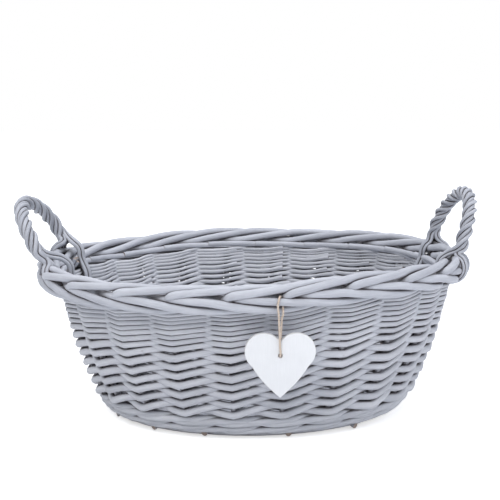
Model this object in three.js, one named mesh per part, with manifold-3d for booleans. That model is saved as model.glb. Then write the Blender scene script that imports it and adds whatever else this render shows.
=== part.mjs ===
// Oval willow basket with a rolled border, two rope-twisted end handles and a wooden heart tag
// that hangs from the border on a loop of jute twine.
// Millimetres, +Z up, +X along the length, the tag on the -Y side. The origin is the centre of
// the base's underside.
import * as THREE from 'three';
import * as BufferGeometryUtils from 'three/addons/utils/BufferGeometryUtils.js';
import createManifold from 'manifold-3d';

const manifold = await createManifold();
manifold.setup();

// Overall sizes
const rimLength = 380;
const rimWidth = 288;
const basketHeight = 146;
const footLength = 250;
const footWidth = 158;

// Stakes and the border that their tops make
const stakeCount = 22;
const stakeDiameter = 5.6;
const borderTurnGaps = 6;
const borderStartDegrees = -122;
const borderExtraDepth = 1.5;
const borderOverhang = 11.5;
const borderEndShortShare = 0.25;
const neckShare = 0.45;
const neckGapShare = 0.15;

// Woven base
const baseThickness = 10;
const crossStickCount = 5;
const crossStickSpacingShare = 0.124;
const crossStickDiameter = 6.4;
const longStickCount = 3;
const longStickSpacing = 8.5;
const longStickDiameter = 3.6;
const middleStickShortening = 40;
const stickEndInset = 1.6;
const footRingWidth = 7;
const stakeFootReach = 14;
const baseHollowDepth = 2.4;
const baseHollowEndInset = 2;

// Woven sides
const weaveThickness = 11;
const waleHeight = 22;
const waleFlare = 12.2;
const sidingBandCount = 2;
const sideBulge = 2;
const grooveSkin = 0.5;

// Handles
const handleStrandCount = 3;
const strandDiameter = 5;
const strandGap = 1.3;
const rightHandleRise = 57;
const rightHandleLean = 16;
const rightFootReaches = [2.8, -3.7];
const leftHandleRise = 49.6;
const leftHandleLean = 22;
const leftFootReaches = [4.5, 10.8];
const handleTurns = -10 / 3;
const handleFootGap = 4.5;
const innerLegDrop = 30;

// Heart tag and its twine
const twineDiameter = 1.5;
const tagStation = 14;
const tagDrop = 42.3;
const heartWidth = 55;
const heartHeight = 52;
const heartThickness = 4;
const heartLobeRadius = 14.8;
const heartHoleDiameter = 3.4;
const heartHoleFromTop = 18;
const knotDiameter = 4.4;
const twineSpread = 1;

// Clearances
const fitGap = 0.3;
const wrapClearance = 0.75;
const threadSlack = 0.3;
const threadGap = 0.45;
const wrapGap = 0.6;
const innerLegGap = 1.2;
const faceGap = 0.35;
const cutOverrun = 30;

// Mesh fineness
const rodSides = 6;
const stickSides = 8;
const ovalStepsPerStake = 2;
const borderStepsPerGap = 3;
const handleSteps = 36;
const heartArcSegments = 10;
const ovalPower = 2.1;

// Shares that set the outline of the foot
const waleOuterShares = [[0, 0], [0.51, 0.18], [0.82, 0.45]];
const waleInnerShares = [0.08, 0.55];
const kneeShares = [[-0.41, 0.23], [0.5, 0.45]];

// Heights of the rows at the stakes, as shares of the siding's height. Between two stakes a row
// is thinner and lies higher, by a share of the distance to the next row.
const rowShares = [
  0.035, 0.137, 0.233, 0.326, 0.42, 0.513, 0.601, 0.688, 0.749, 0.806, 0.854, 0.902, 0.946, 0.984,
];
const rowThinShare = 0.55;
const rowLiftShare = 0.3;
const grooveShare = 0.5;

// Shares that set the bows of the handles: how far apart the feet are, and how round the bows
const rightSpreadShare = 1.04;
const leftSpreadShare = 1.19;
const bowRoundShare = 0.83;

const gapAngle = (2 * Math.PI) / stakeCount;
const borderStep = (2 * Math.PI) / borderTurnGaps;

// Border section: the rods lie on an oval ring, wide enough apart for the twine to pass between
const borderRodSpacing = stakeDiameter + twineDiameter + threadSlack;
const borderReach = borderRodSpacing;
const borderDepthReach = borderRodSpacing + borderExtraDepth;
const borderHalfWidth = borderReach + stakeDiameter / 2;
const borderHalfDepth = borderDepthReach + stakeDiameter / 2;
const borderZ = basketHeight - borderHalfDepth;
const weaveTop = basketHeight - 2 * borderHalfDepth - strandDiameter - 2 * wrapClearance;

// Ovals, as half-lengths and half-widths
const rimOval = { a: rimLength / 2, b: rimWidth / 2 };
const footOval = { a: footLength / 2, b: footWidth / 2 };
const borderOval = grown(rimOval, -borderHalfWidth);
const baseOval = grown(footOval, -footRingWidth);
const crossStickSpacing = footLength * crossStickSpacingShare;

function grown(oval, distance) {
  return { a: oval.a + distance, b: oval.b + distance };
}

// Point of an oval at an angle, at a height. The angle is 0 at the +X end.
function place(oval, angle, z) {
  const c = Math.cos(angle);
  const s = Math.sin(angle);
  const stretch = (Math.abs(c) ** ovalPower + Math.abs(s) ** ovalPower) ** (-1 / ovalPower);
  return new THREE.Vector3(oval.a * c * stretch, oval.b * s * stretch, z);
}

// Middle line of the woven side at a height, from the top of the foot wale to the top row
function sideOval(z) {
  const share = (z - waleHeight) / (weaveTop - waleHeight);
  const low = grown(footOval, waleFlare);
  const high = grown(borderOval, -borderOverhang);
  const bulge = sideBulge * 4 * share * (1 - share);
  return {
    a: THREE.MathUtils.lerp(low.a, high.a, share) + bulge,
    b: THREE.MathUtils.lerp(low.b, high.b, share) + bulge,
  };
}

// Point beside the border's centre line: turn 0 is outward and a quarter turn is up
function borderPoint(angle, turn, reach, depthReach) {
  const oval = grown(borderOval, reach * Math.cos(turn));
  return place(oval, angle, borderZ + depthReach * Math.sin(turn));
}

// Path whose steps follow the listed points, so that each ring of a rod lies on one of them
class RodPath extends THREE.CatmullRomCurve3 {
  getPointAt(share, target) {
    return this.getPoint(share, target);
  }

  getTangentAt(share, target) {
    return this.getTangent(share, target);
  }
}

function polygon(radius, sides) {
  const corners = [];
  for (let i = 0; i < sides; i += 1) {
    const angle = (i * 2 * Math.PI) / sides;
    corners.push(new THREE.Vector2(radius * Math.cos(angle), radius * Math.sin(angle)));
  }
  return new THREE.Shape(corners);
}

function rod(points, diameter, sides = rodSides) {
  return new THREE.ExtrudeGeometry(polygon(diameter / 2, sides), {
    steps: points.length - 1,
    bevelEnabled: false,
    extrudePath: new RodPath(points),
  });
}

function toSolid(geometry) {
  const bare = geometry.clone();
  bare.deleteAttribute('normal');
  bare.deleteAttribute('uv');
  const merged = BufferGeometryUtils.mergeVertices(bare);
  return new manifold.Manifold(new manifold.Mesh({
    numProp: 3,
    vertProperties: new Float32Array(merged.attributes.position.array),
    triVerts: new Uint32Array(merged.index.array),
  }));
}

function toGeometry(solid) {
  const mesh = solid.getMesh();
  const geometry = new THREE.BufferGeometry();
  geometry.setAttribute('position', new THREE.BufferAttribute(mesh.vertProperties, 3));
  geometry.setIndex(new THREE.BufferAttribute(mesh.triVerts, 1));
  return geometry;
}

function cutBy(geometry, cutters) {
  let solid = toSolid(geometry);
  for (const cutter of cutters) {
    solid = solid.subtract(toSolid(cutter));
  }
  return toGeometry(solid);
}

function ovalAngles() {
  const count = stakeCount * ovalStepsPerStake;
  const angles = [];
  for (let i = 0; i < count; i += 1) {
    angles.push((i * 2 * Math.PI) / count);
  }
  return angles;
}

// Closed ring round the basket, with a profile for each place round it that runs anticlockwise,
// as seen with +X outward
function ovalRing(profileAt) {
  const angles = ovalAngles();
  const positions = [];
  const index = [];
  angles.forEach((angle, i) => {
    for (const [oval, z] of profileAt(i)) {
      positions.push(...place(oval, angle, z).toArray());
    }
  });
  const size = profileAt(0).length;
  angles.forEach((angle, i) => {
    const here = i * size;
    const next = ((i + 1) % angles.length) * size;
    for (let j = 0; j < size; j += 1) {
      const k = (j + 1) % size;
      index.push(here + j, next + j, next + k);
      index.push(here + j, next + k, here + k);
    }
  });
  const geometry = new THREE.BufferGeometry();
  geometry.setAttribute('position', new THREE.Float32BufferAttribute(positions, 3));
  geometry.setIndex(index);
  return geometry;
}

// One stake: a foot in the base, a knee, the rise through the side, and the border rod that
// its top makes, which rolls once round the border over six gaps
function stakePoints(angle, overrun = 0) {
  const reach = footRingWidth + stakeFootReach + overrun;
  const points = [place(grown(footOval, -reach), angle, baseThickness / 2)];
  for (const [outShare, upShare] of kneeShares) {
    points.push(place(grown(footOval, waleFlare * outShare), angle, waleHeight * upShare));
  }
  for (let band = 0; band <= sidingBandCount; band += 1) {
    const z = bandHeight(band);
    points.push(place(sideOval(z), angle, z));
  }
  const start = THREE.MathUtils.degToRad(borderStartDegrees);
  const neck = borderPoint(angle, start, borderReach, borderDepthReach);
  const top = points[points.length - 1];
  points.push(top.clone().lerp(neck, neckShare));
  points.push(borderRodPoint(angle, neckGapShare));
  const steps = borderTurnGaps * borderStepsPerGap;
  for (let i = 1; i < steps; i += 1) {
    points.push(borderRodPoint(angle, i / borderStepsPerGap));
  }
  points.push(borderRodPoint(angle, borderTurnGaps - borderEndShortShare));
  return points;
}

function borderRodPoint(angle, gaps) {
  const turn = THREE.MathUtils.degToRad(borderStartDegrees) + borderStep * gaps;
  return borderPoint(angle + gaps * gapAngle, turn, borderReach, borderDepthReach);
}

function bandHeight(band) {
  return waleHeight + ((weaveTop - waleHeight) * band) / sidingBandCount;
}

function stakeAngle(number) {
  return number * gapAngle;
}

function stakeCutters() {
  const cutters = [];
  for (let i = 0; i < stakeCount; i += 1) {
    cutters.push(rod(stakePoints(stakeAngle(i), fitGap), stakeDiameter + 2 * fitGap));
  }
  return cutters;
}

// Middle line of a band at a height: the stakes run straight from its foot to its top
function bandOval(band, z) {
  const low = bandHeight(band);
  const high = bandHeight(band + 1);
  const share = (z - low) / (high - low);
  return {
    a: THREE.MathUtils.lerp(sideOval(low).a, sideOval(high).a, share),
    b: THREE.MathUtils.lerp(sideOval(low).b, sideOval(high).b, share),
  };
}

// Steps of a band from its foot up, each a half thickness and a height: a ridge for each row and a
// groove above it. At a stake one rod lies in front and one behind, and between stakes they cross.
function bandSteps(band, atStake) {
  const low = bandHeight(band) + fitGap / 2;
  const high = bandHeight(band + 1) - fitGap / 2;
  const thinShare = atStake ? 1 : rowThinShare;
  const liftShare = atStake ? 0 : rowLiftShare;
  const ridge = (weaveThickness / 2) * thinShare;
  const groove = (stakeDiameter / 2 + fitGap + grooveSkin) * thinShare;
  const steps = [[groove, low]];
  rowShares.forEach((share, i) => {
    const row = THREE.MathUtils.lerp(waleHeight, weaveTop, share);
    const next = THREE.MathUtils.lerp(waleHeight, weaveTop, rowShares[i + 1] ?? 1);
    if (row > low && row < high) {
      steps.push([ridge, row + (next - row) * liftShare]);
      steps.push([groove, row + (next - row) * (grooveShare + liftShare)]);
    }
  });
  steps[steps.length - 1] = [groove, high];
  return steps;
}

function sidingBand(band, cutters) {
  return cutBy(ovalRing((column) => {
    const steps = bandSteps(band, column % ovalStepsPerStake === 0);
    const outer = steps.map(([half, z]) => [grown(bandOval(band, z), half), z]);
    const inner = steps.map(([half, z]) => [grown(bandOval(band, z), -half), z]);
    return [...outer, ...inner.reverse()];
  }), cutters);
}

// Foot wale: the thick rows that turn the stakes up, with the flat ring that the basket stands on
function footWale(cutters) {
  const top = waleHeight - fitGap / 2;
  const half = weaveThickness / 2;
  const outerReach = waleFlare + half;
  const innerReach = waleFlare - half;
  const profile = [[grown(baseOval, fitGap), 0]];
  for (const [outShare, upShare] of waleOuterShares) {
    profile.push([grown(footOval, outerReach * outShare), waleHeight * upShare]);
  }
  profile.push([grown(sideOval(waleHeight), half), top]);
  profile.push([grown(footOval, innerReach), top]);
  profile.push([grown(footOval, waleFlare * waleInnerShares[0]), waleHeight * waleInnerShares[1]]);
  profile.push([grown(baseOval, fitGap), baseThickness]);
  return cutBy(ovalRing(() => profile), cutters);
}

function baseSlab() {
  const corners = ovalAngles().map((angle) => {
    const point = place(baseOval, angle, 0);
    return new THREE.Vector2(point.x, point.y);
  });
  return new THREE.ExtrudeGeometry(new THREE.Shape(corners), { depth: baseThickness, bevelEnabled: false });
}

// Half the chord of the base's oval: across it at a place along the length, or along it
function halfChord(reach, side, otherSide) {
  return otherSide * (1 - (Math.abs(reach) / side) ** ovalPower) ** (1 / ovalPower);
}

function centredPlace(number, count, spacing) {
  return (number - (count - 1) / 2) * spacing;
}

function crossStick(number, diameter, overrun) {
  const x = centredPlace(number, crossStickCount, crossStickSpacing);
  const half = halfChord(x, baseOval.a, baseOval.b) - stickEndInset + overrun;
  return rod([
    new THREE.Vector3(x, -half, baseThickness / 2),
    new THREE.Vector3(x, half, baseThickness / 2),
  ], diameter, stickSides);
}

function longStick(number, diameter, overrun) {
  const y = centredPlace(number, longStickCount, longStickSpacing);
  const shortening = y === 0 ? middleStickShortening / 2 : stickEndInset;
  const half = halfChord(y, baseOval.b, baseOval.a) - shortening + overrun;
  return rod([
    new THREE.Vector3(-half, y, baseThickness / 2),
    new THREE.Vector3(half, y, baseThickness / 2),
  ], diameter, stickSides);
}

function longStickCutters(overrun) {
  const cutters = [];
  for (let i = 0; i < longStickCount; i += 1) {
    const y = centredPlace(i, longStickCount, longStickSpacing);
    cutters.push(longStick(i, longStickDiameter + 2 * fitGap, y === 0 ? fitGap : overrun));
  }
  return cutters;
}

// Hollow in the top of the base between two cross sticks, where the woven rods cross each other.
// It ends short of the feet of the stakes.
function baseHollow(number) {
  const left = centredPlace(number, crossStickCount, crossStickSpacing);
  const right = left + crossStickSpacing;
  const middle = (left + right) / 2;
  const reach = Math.max(Math.abs(left), Math.abs(right));
  const half = halfChord(reach, baseOval.a, baseOval.b) - stakeFootReach - baseHollowEndInset;
  const slope = (crossStickSpacing - crossStickDiameter) / 2 / baseHollowDepth;
  const floor = baseThickness - baseHollowDepth;
  const top = baseThickness + baseHollowDepth;
  const section = new THREE.Shape([
    new THREE.Vector2(middle, floor),
    new THREE.Vector2(middle + slope * (top - floor), top),
    new THREE.Vector2(middle - slope * (top - floor), top),
  ]);
  return new THREE.ExtrudeGeometry(section, { depth: 2 * half, bevelEnabled: false })
    .rotateX(Math.PI / 2)
    .translate(0, half, 0);
}

function baseWeave(cutters) {
  const ownCutters = [];
  for (let i = 0; i < crossStickCount; i += 1) {
    ownCutters.push(crossStick(i, crossStickDiameter + 2 * fitGap, cutOverrun));
  }
  for (let i = 0; i < crossStickCount - 1; i += 1) {
    ownCutters.push(baseHollow(i));
  }
  return cutBy(baseSlab(), [...ownCutters, ...longStickCutters(cutOverrun), ...cutters]);
}

// Handle at the +X end. Its feet stand on the border beside the stakes on each side of the end
// stake, at their own reach from the border's middle, and its rope of three strands leans outward.
const strandRadius = strandDiameter / 2;
const layRadius = (strandDiameter + strandGap) / Math.sqrt(handleStrandCount);
const bowFootZ = basketHeight + handleFootGap;

const rightBow = {
  rise: rightHandleRise,
  lean: rightHandleLean,
  footReaches: rightFootReaches,
  spreadShare: rightSpreadShare,
};
const leftBow = {
  rise: leftHandleRise,
  lean: leftHandleLean,
  footReaches: leftFootReaches,
  spreadShare: leftSpreadShare,
};

function bowPoint(share, bow) {
  const foot = place(borderOval, gapAngle, bowFootZ);
  const [firstReach, lastReach] = bow.footReaches;
  const angle = share * Math.PI;
  const reach = THREE.MathUtils.lerp(lastReach, firstReach, (1 + Math.cos(angle)) / 2);
  const rise = bow.rise - handleFootGap - layRadius - strandRadius;
  return new THREE.Vector3(
    foot.x + reach + bow.lean * Math.sin(angle),
    -foot.y * bow.spreadShare * Math.cos(angle),
    foot.z + rise * Math.sin(angle) ** bowRoundShare,
  );
}

// Directions across the bow: outward, and in its plane
function bowFrame(share, bow) {
  const step = 1 / handleSteps / 2;
  const along = bowPoint(share + step, bow).sub(bowPoint(share - step, bow)).normalize();
  const inPlane = along.clone().cross(new THREE.Vector3(bow.rise, 0, -bow.lean)).normalize();
  const square = inPlane.clone().cross(along);
  return { square, inPlane };
}

function bowStrandPoint(share, strand, bow) {
  const { square, inPlane } = bowFrame(share, bow);
  const start = Math.PI / handleStrandCount / 2 + ((2 * Math.PI) / handleStrandCount) * strand;
  const angle = start + handleTurns * 2 * Math.PI * share;
  return bowPoint(share, bow)
    .addScaledVector(inPlane, layRadius * Math.cos(angle))
    .addScaledVector(square, layRadius * Math.sin(angle));
}

// A strand end that passes down outside the border and under it, and is tucked in at the inside
function wrapEnd(angle, shiftShare, footReach) {
  const reach = borderHalfWidth + wrapGap + strandRadius;
  const depthReach = borderHalfDepth + wrapGap + strandRadius;
  const turns = [64, 38, 12, -14, -40, -66, -92, -118, -144, -165].map(THREE.MathUtils.degToRad);
  const outside = (turn) => turn < 0 || reach * Math.cos(turn) > footReach - strandRadius;
  return turns.filter(outside).map((turn, i) => {
    const drift = driftShares[i] ?? 1;
    return borderPoint(angle + gapAngle * shiftShare * drift, turn, reach, depthReach);
  });
}

// A strand end that passes down inside the border and along the inner face of the weave
function innerLeg(angle) {
  const reach = borderHalfWidth + wrapGap + strandRadius;
  const depthReach = borderHalfDepth + wrapGap + strandRadius;
  const points = [118, 142, 166, 190].map((degrees) => (
    borderPoint(angle, THREE.MathUtils.degToRad(degrees), reach, depthReach)
  ));
  const inset = -weaveThickness / 2 - innerLegGap - strandRadius;
  for (const z of [weaveTop + strandRadius, weaveTop - innerLegDrop / 2, weaveTop - innerLegDrop]) {
    points.push(place(grown(sideOval(Math.min(z, weaveTop)), inset), angle, z));
  }
  return points;
}

function strandEnd(role, angle, footReach) {
  if (role === 'inner') {
    return innerLeg(angle);
  }
  return wrapEnd(angle, wrapShiftShares[role], footReach);
}

const wrapShiftShares = { before: -0.18, after: 0.26 };
const driftShares = [0.5, 0.75];
const frontRoles = ['after', 'before', 'inner'];
const backRoles = ['inner', 'before', 'after'];

function handleStrand(strand, bow) {
  const points = strandEnd(frontRoles[strand], -gapAngle, bow.footReaches[0]).reverse();
  for (let i = 1; i < handleSteps; i += 1) {
    points.push(bowStrandPoint(i / handleSteps, strand, bow));
  }
  points.push(...strandEnd(backRoles[strand], gapAngle, bow.footReaches[1]));
  return rod(points, strandDiameter);
}

// Twine: it passes round one border rod beside the front's middle, and its two sides meet at the
// tag's hole. Points are given across, outward and up from the middle of that rod.
const tagAngle = -Math.PI / 2 + tagStation / borderOval.a;
const tagRodTurn = nearestRodTurn(tagAngle);
const tagPivot = borderPoint(tagAngle, tagRodTurn, borderReach, borderDepthReach);
const holeZ = tagPivot.z - tagDrop;
const twineRadius = twineDiameter / 2;
const twineFace = heartThickness / 2 + faceGap + twineRadius;
const twineLoop = stakeDiameter / 2 + threadGap + twineRadius;
const knotReach = heartThickness / 2 + fitGap + knotDiameter / 2;

// Turn of the border rod that lies nearest to the outside at an angle
function nearestRodTurn(angle) {
  const gaps = (((angle / gapAngle) % 1) + 1) % 1;
  let best = Math.PI;
  for (let i = 0; i < borderTurnGaps; i += 1) {
    const turn = THREE.MathUtils.degToRad(borderStartDegrees) + borderStep * (gaps + i);
    best = Math.abs(turn) < Math.abs(best) ? turn : best;
  }
  return best;
}

// Rise of that rod for each millimetre across
const slopeStepShare = 0.01;

function tagRodSlope() {
  const angle = tagAngle + gapAngle * slopeStepShare;
  const turn = tagRodTurn + borderStep * slopeStepShare;
  const ahead = borderPoint(angle, turn, borderReach, borderDepthReach);
  return (ahead.z - tagPivot.z) / (ahead.x - tagPivot.x);
}

function twinePoint(across, outward, up) {
  return new THREE.Vector3(tagPivot.x + across, tagPivot.y - outward, tagPivot.z + up);
}

function twineLoopPoints() {
  const slope = tagRodSlope();
  return [-6, 18, 42, 66, 90, 114, 138, 162, 186, 210, 234].map((degrees) => {
    const turn = THREE.MathUtils.degToRad(degrees);
    const across = twineSpread * (degrees / 114 - 1);
    return twinePoint(across, twineLoop * Math.cos(turn), twineLoop * Math.sin(turn) + across * slope);
  });
}

function twinePoints() {
  const holeSag = heartHoleDiameter / 2 - twineRadius - faceGap;
  const bottom = -tagDrop - holeSag;
  const points = [
    twinePoint(0, -heartThickness / 2, bottom),
    twinePoint(0, 0, bottom),
  ];
  for (const degrees of [-60, -30, 0]) {
    const turn = THREE.MathUtils.degToRad(degrees);
    points.push(twinePoint(0, twineFace * Math.cos(turn), bottom + twineFace * (1 + Math.sin(turn))));
  }
  for (const share of [0.8, 0.6, 0.4, 0.2]) {
    const outward = THREE.MathUtils.lerp(twineLoop, twineFace, share);
    points.push(twinePoint(-twineSpread * (1 - share), outward, -tagDrop * share));
  }
  points.push(...twineLoopPoints());
  points.push(twinePoint(twineSpread, -0.4, -4.7));
  points.push(twinePoint(twineSpread, 0.9, -6.8));
  points.push(twinePoint(twineSpread, 0.9, -10));
  for (const [share, faceShare] of [[0.3, 0.4], [0.42, 1], [0.6, 1.05], [0.8, 1.1]]) {
    points.push(twinePoint(twineSpread * (1 - share), -twineFace * faceShare, -tagDrop * share));
  }
  points.push(twinePoint(0, -knotReach, -tagDrop + knotDiameter));
  points.push(twinePoint(0, -knotReach, -tagDrop + knotDiameter / 2 + fitGap));
  return points;
}

function twineKnot() {
  const knot = new THREE.IcosahedronGeometry(knotDiameter / 2, 1);
  const centre = twinePoint(0, -knotReach, -tagDrop);
  return knot.translate(centre.x, centre.y, centre.z);
}

// Heart: two round lobes and straight sides that meet at the tip, with a hole under the notch
function heartTag() {
  const lobeX = heartWidth / 2 - heartLobeRadius;
  const tipDrop = heartHeight - heartLobeRadius;
  const tangent = Math.atan2(-tipDrop, -lobeX)
    + Math.acos(heartLobeRadius / Math.hypot(lobeX, tipDrop));
  const notch = Math.PI - Math.acos(lobeX / heartLobeRadius);
  const shape = new THREE.Shape();
  shape.moveTo(0, -tipDrop);
  shape.lineTo(
    lobeX + heartLobeRadius * Math.cos(tangent),
    heartLobeRadius * Math.sin(tangent),
  );
  shape.absarc(lobeX, 0, heartLobeRadius, tangent, notch, false);
  shape.absarc(-lobeX, 0, heartLobeRadius, Math.PI - notch, Math.PI - tangent, false);
  const hole = new THREE.Path();
  const holeY = heartLobeRadius - heartHoleFromTop;
  hole.absarc(0, holeY, heartHoleDiameter / 2, 0, 2 * Math.PI, true);
  shape.holes.push(hole);
  const geometry = new THREE.ExtrudeGeometry(shape, {
    depth: heartThickness,
    bevelEnabled: false,
    curveSegments: heartArcSegments,
  });
  geometry.translate(0, -holeY, -heartThickness / 2);
  geometry.rotateX(Math.PI / 2);
  return geometry.translate(tagPivot.x, tagPivot.y, holeZ);
}

function willow(name, color) {
  return new THREE.MeshStandardMaterial({ name, color, roughness: 0.75, metalness: 0 });
}

const borderWillow = willow('painted_stake_willow', '#bcbec7');
const weaveWillow = willow('painted_weave_willow', '#a4a8b1');
const baseWillow = willow('painted_base_willow', '#9da1ab');
const handleWillow = willow('painted_handle_willow', '#bcc0c8');
const heartPaint = new THREE.MeshStandardMaterial({
  name: 'white_painted_wood',
  color: '#edf0f5',
  roughness: 0.6,
});
const juteFibre = new THREE.MeshStandardMaterial({
  name: 'jute_twine',
  color: '#dbcfc9',
  roughness: 0.95,
});

const basket = new THREE.Group();

function add(name, geometry, material, parent = basket) {
  const mesh = new THREE.Mesh(geometry, material.clone());
  mesh.name = name;
  parent.add(mesh);
}

function addBase(cutters) {
  add('base_weave', baseWeave(cutters), baseWillow);
  for (let i = 0; i < crossStickCount; i += 1) {
    const stick = cutBy(crossStick(i, crossStickDiameter, 0), longStickCutters(cutOverrun));
    add(`base_cross_stick_${i + 1}`, stick, baseWillow);
  }
  for (let i = 0; i < longStickCount; i += 1) {
    add(`base_long_stick_${i + 1}`, longStick(i, longStickDiameter, 0), baseWillow);
  }
}

function addSides(cutters) {
  add('foot_wale', footWale(cutters), weaveWillow);
  for (let band = 0; band < sidingBandCount; band += 1) {
    add(`siding_band_${band + 1}`, sidingBand(band, cutters), weaveWillow);
  }
}

function addStakes() {
  for (let i = 0; i < stakeCount; i += 1) {
    const number = String(i + 1).padStart(2, '0');
    add(`stake_${number}`, rod(stakePoints(stakeAngle(i)), stakeDiameter), borderWillow);
  }
}

function addHandle(side, turn, bow) {
  const handle = new THREE.Group();
  handle.rotation.z = turn;
  basket.add(handle);
  for (let strand = 0; strand < handleStrandCount; strand += 1) {
    add(`handle_${side}_strand_${strand + 1}`, handleStrand(strand, bow), handleWillow, handle);
  }
}

function addTag() {
  add('tag_twine', rod(twinePoints(), twineDiameter, stickSides), juteFibre);
  add('twine_knot', twineKnot(), juteFibre);
  add('heart_tag', heartTag(), heartPaint);
}

const cutters = stakeCutters();
addBase(cutters);
addSides(cutters);
addStakes();
addHandle('right', 0, rightBow);
addHandle('left', Math.PI, leftBow);
addTag();

export default basket;
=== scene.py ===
import math
from functools import partial

import bmesh
import bpy
import numpy as np
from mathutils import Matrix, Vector


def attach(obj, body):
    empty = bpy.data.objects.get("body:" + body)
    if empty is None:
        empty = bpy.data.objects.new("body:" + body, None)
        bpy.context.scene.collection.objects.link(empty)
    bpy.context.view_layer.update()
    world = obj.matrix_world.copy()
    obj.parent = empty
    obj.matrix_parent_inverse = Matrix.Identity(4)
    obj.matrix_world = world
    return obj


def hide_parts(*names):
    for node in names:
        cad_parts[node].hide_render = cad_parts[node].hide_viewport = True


# Oval willow basket: painted woven sides, a plaited border, two rope handles and a heart tag.
# Sizes of the pieces are in millimetres and become metres when a mesh is made. The camera, the
# lamps and the sizes in the materials are in metres.
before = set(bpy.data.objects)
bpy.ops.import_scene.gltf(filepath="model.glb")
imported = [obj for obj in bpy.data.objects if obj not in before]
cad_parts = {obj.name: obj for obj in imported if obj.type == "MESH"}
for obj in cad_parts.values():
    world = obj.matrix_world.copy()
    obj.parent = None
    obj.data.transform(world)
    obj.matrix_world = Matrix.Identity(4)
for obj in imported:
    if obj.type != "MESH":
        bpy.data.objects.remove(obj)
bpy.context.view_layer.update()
scene = bpy.context.scene
millimetre = 0.001
fullTurn = 2 * math.pi

# Shape of the whole basket, as the frame has it. Places round it are counted in gaps between two
# stakes, from the stake at the +X end, between the feet of the right handle.
basketForm = {
    "stakeCount": 22,
    "ovalPower": 2.1,  # 2 is an ellipse
    "footOval": (125.0, 79.0), "borderOval": (179.8, 133.8), "borderZ": 134.3,
    "borderShift": -3.0,  # towards the left handle
    "borderSquash": 0.82,
    # the hand-made rim isn't level: degrees round the basket, and how much higher the rim is there
    "rimWave": [
        (0, 2.2), (35, 2.0), (52, 1.5), (70, -0.4), (90, 0.2), (108, 0.0), (120, -2.2), (135, -4.2),
        (150, -3.2), (165, -2.0), (180, -1.4), (212, -2.2), (229, -3.0), (245, -2.0), (258, -0.8),
        (268, -0.3), (274.5, 0.0), (281, 2.0), (290, 4.8), (300, 5.9), (315, 6.0), (330, 5.0),
        (345, 3.4), (360, 2.2),
    ],
    "weaveTop": 116.1, "waleHeight": 22.0, "waleFlare": 12.2, "borderOverhang": 11.5,
    "sideBulge": 2.0,
}
gapAngle = fullTurn / basketForm["stakeCount"]


def ovalPoint(oval, angle, z):
    # point of an oval at an angle, 0 at the +X end; every argument may be an array
    c, s, power = np.cos(angle), np.sin(angle), basketForm["ovalPower"]
    stretch = (np.abs(c) ** power + np.abs(s) ** power) ** (-1 / power)
    x, y = oval[0] * c * stretch, oval[1] * s * stretch
    return np.stack(np.broadcast_arrays(x, y, z), axis=-1)


def grown(oval, distance):
    return oval[0] + distance, oval[1] + distance


def sideOval(z):
    # middle line of the woven side at a height
    form = basketForm
    share = (z - form["waleHeight"]) / (form["weaveTop"] - form["waleHeight"])
    low = grown(form["footOval"], form["waleFlare"])
    high = grown(form["borderOval"], -form["borderOverhang"])
    bulge = form["sideBulge"] * 4 * share * (1 - share)
    return [lo + (hi - lo) * share + bulge for lo, hi in zip(low, high)]


def rimRise(angle):
    degrees, rise = zip(*basketForm["rimWave"])
    return np.interp(np.degrees(angle) % 360, degrees, rise)


def borderPoint(angle, outward, upward):
    form = basketForm
    level = form["borderZ"] + rimRise(angle) + upward * form["borderSquash"]
    return ovalPoint(grown(form["borderOval"], outward), angle, level) + (form["borderShift"], 0, 0)


def lengthsAlong(path):
    # how far along the path each of its points is
    return np.concatenate([[0.0], np.cumsum(np.linalg.norm(np.diff(path, axis=0), axis=1))])


def smoothPath(points, spacing):
    # cubic path through the points, cut into even steps; columns past the third are carried along
    points = np.asarray(points, dtype=float)
    along = lengthsAlong(points[:, :3])
    slopes = np.gradient(points, along, axis=0)
    steps = np.linspace(0, along[-1], max(2, int(round(along[-1] / spacing))) + 1)
    k = np.clip(np.searchsorted(along, steps, side="right") - 1, 0, len(points) - 2)
    width = (along[k + 1] - along[k])[:, None]
    u = (steps - along[k])[:, None] / width
    return (
        (2 * u**3 - 3 * u**2 + 1) * points[k] + (u**3 - 2 * u**2 + u) * width * slopes[k]
        + (3 * u**2 - 2 * u**3) * points[k + 1] + (u**3 - u**2) * width * slopes[k + 1]
    )


def unitRows(vectors):
    return vectors / np.linalg.norm(vectors, axis=1)[:, None]


def addObject(name, data):
    added = bpy.data.objects.new(name, data)
    scene.collection.objects.link(added)
    return added


def storeFloats(mesh, name, values):
    mesh.attributes.new(name, "FLOAT", "POINT").data.foreach_set("value", values.astype(np.float32))


# camera, at the photograph's angle
cameraSettings = {
    "place": (-0.0351, -0.8760, 0.3084), "pitch": 0.1829, "turn": -0.0358, "lens": 71.34,
    "sensorWidth": 36,
}


def makeCamera():
    data = bpy.data.cameras.new("photoCamera")
    data.lens = cameraSettings["lens"]
    data.sensor_width = cameraSettings["sensorWidth"]
    camera = addObject("photoCamera", data)
    camera.location = cameraSettings["place"]
    camera.rotation_euler = (math.pi / 2 - cameraSettings["pitch"], 0, cameraSettings["turn"])
    scene.camera = camera


makeCamera()
print("camera placed")


# nodes for materials and rods
def addNode(tree, kind, settings=None, values=None, links=None):
    # a node with its settings, its input values and its links, by input name or number. A kind
    # without the word Node is a shader's, a text in place of the settings is the operation, and a
    # node in the links stands for its first output.
    node = tree.nodes.new(kind if "Node" in kind else "ShaderNode" + kind)
    if isinstance(settings, str):
        settings = {"operation": settings}
    for name, value in (settings or {}).items():
        setattr(node, name, value)
    for name, value in (values or {}).items():
        node.inputs[name].default_value = value
    for name, source in (links or {}).items():
        socket = source.outputs[0] if isinstance(source, bpy.types.Node) else source
        tree.links.new(socket, node.inputs[name])
    return node


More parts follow.
